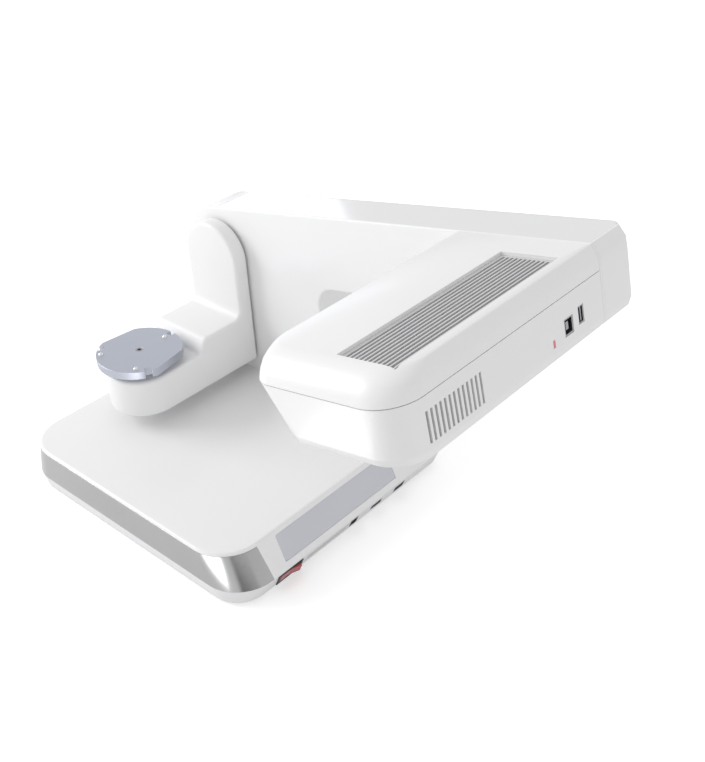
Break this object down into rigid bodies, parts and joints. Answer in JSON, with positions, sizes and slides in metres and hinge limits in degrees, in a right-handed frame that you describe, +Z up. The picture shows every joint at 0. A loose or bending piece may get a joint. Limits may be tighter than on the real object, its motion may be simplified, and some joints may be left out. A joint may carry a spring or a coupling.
{
  "type": "dental 3D scanner",
  "caption": "Desktop dental scanner: flat base, leaning upright with a box-shaped optical head, and a swinging arm with a turntable for a dental model.",
  "frame": {"origin": "middle of the whole machine's plan, on the surface it stands on", "axes": "+X along the machine's length towards the head, +Y to the rear, +Z up"},
  "size_m": [0.4234, 0.2398, 0.2644],
  "materials": {
    "white_shell": "satin white moulded plastic",
    "white_tray": "fine-grained white moulded plastic",
    "silver_trim": "polished silver band",
    "grey_panel": "grey glossy acrylic",
    "silver_strip": "bright anodised aluminium",
    "steel_plate": "zinc plated steel",
    "rubber": "matt black rubber",
    "screws": "plated steel",
    "circuit": "green circuit board",
    "dark_mesh": "dark filter mesh",
    "black_plastic": "black moulded plastic",
    "red_rocker": "red rocker",
    "port_metal": "nickel plated port shell",
    "grille": "grey ribbed grille",
    "dark_glass": "dark optical window",
    "lens_glass": "coated lens",
    "black_metal": "black anodised",
    "alu_bench": "milled aluminium",
    "led": "lit indicator lens",
    "white_arm": "satin white moulded plastic",
    "alu_table": "anodised machined aluminium",
    "steel_ball": "polished steel balls",
    "motor": "black stepper motor",
    "bronze": "sintered bronze bearing",
    "gear_steel": "machined gear steel"
  },
  "bodies": {
    "base": {"base_top_cover": "white_shell", "base_lower_tray": "white_tray", "base_trim_band": "silver_trim", "base_glass_panel": "grey_panel", "base_ballast_plate": "steel_plate", "rubber_feet": "rubber", "base_screws": "screws", "control_board": "circuit", "base_dust_mesh": "dark_mesh", "power_switch_bezel": "black_plastic", "power_jack": "black_plastic", "base_usb_port": "port_metal", "base_sync_port": "port_metal", "column_front_cover": "white_shell", "column_rear_cover": "white_shell", "column_top_strip": "silver_strip", "column_end_cap": "white_shell", "column_frame": "steel_plate", "column_screws": "screws", "swing_bearing": "bronze", "swing_motor": "motor", "head_lower_shell": "white_shell", "head_top_cover": "white_shell", "head_grille": "grille", "grille_mesh": "dark_mesh", "scan_window": "dark_glass", "optical_bench": "alu_bench", "camera_front": "black_metal", "camera_front_barrel": "black_metal", "camera_front_lens": "lens_glass", "camera_rear": "black_metal", "camera_rear_barrel": "black_metal", "camera_rear_lens": "lens_glass", "projector_body": "black_metal", "projector_barrel": "black_metal", "projector_lens": "lens_glass", "heat_sink": "alu_bench", "fan_frame": "black_plastic", "head_usb_b_port": "port_metal", "head_usb_a_port": "port_metal", "status_led": "led", "head_screws": "screws"},
    "power_rocker": {"power_rocker": "red_rocker"},
    "fan_rotor": {"fan_rotor": "black_plastic"},
    "swing_pinion": {"swing_pinion": "gear_steel"},
    "arm": {"arm_shell": "white_arm", "arm_floor": "white_arm", "arm_screws": "screws", "swing_shaft": "gear_steel", "swing_gear": "gear_steel", "turntable_motor": "motor", "turntable_bearing": "bronze"},
    "turntable": {"turntable_plate": "alu_table", "locating_balls": "steel_ball", "turntable_spindle": "gear_steel", "turntable_screw": "screws"}
  },
  "joints": [
    {"name": "arm_swing", "type": "hinge", "parent": "base", "child": "arm", "pos_m": [-0.15216, 0.0794, 0.1568], "axis": [0, 1, 0], "range_deg": [-30, 90]},
    {"name": "turntable_spin", "type": "hinge", "parent": "arm", "child": "turntable", "pos_m": [-0.15216, -0.0231, 0.1073], "axis": [0, 0, 1], "continuous": true},
    {"name": "swing_pinion_spin", "type": "hinge", "parent": "base", "child": "swing_pinion", "pos_m": [-0.12459, 0.0844, 0.13366], "axis": [0, 1, 0], "range_deg": [-275, 95]},
    {"name": "power_rocker_tilt", "type": "hinge", "parent": "base", "child": "power_rocker", "pos_m": [0.04894, -0.0636, 0.01041], "axis": [0.4061, 0, 0.9138], "range_deg": [0, 14]},
    {"name": "fan_spin", "type": "hinge", "parent": "base", "child": "fan_rotor", "pos_m": [0.18014, -0.0246, 0.24437], "axis": [-0.1908, 0, 0.9816], "continuous": true}
  ],
  "couplings": [
    {"joint": "swing_pinion_spin", "follows": "arm_swing", "ratio": -3}
  ]
}
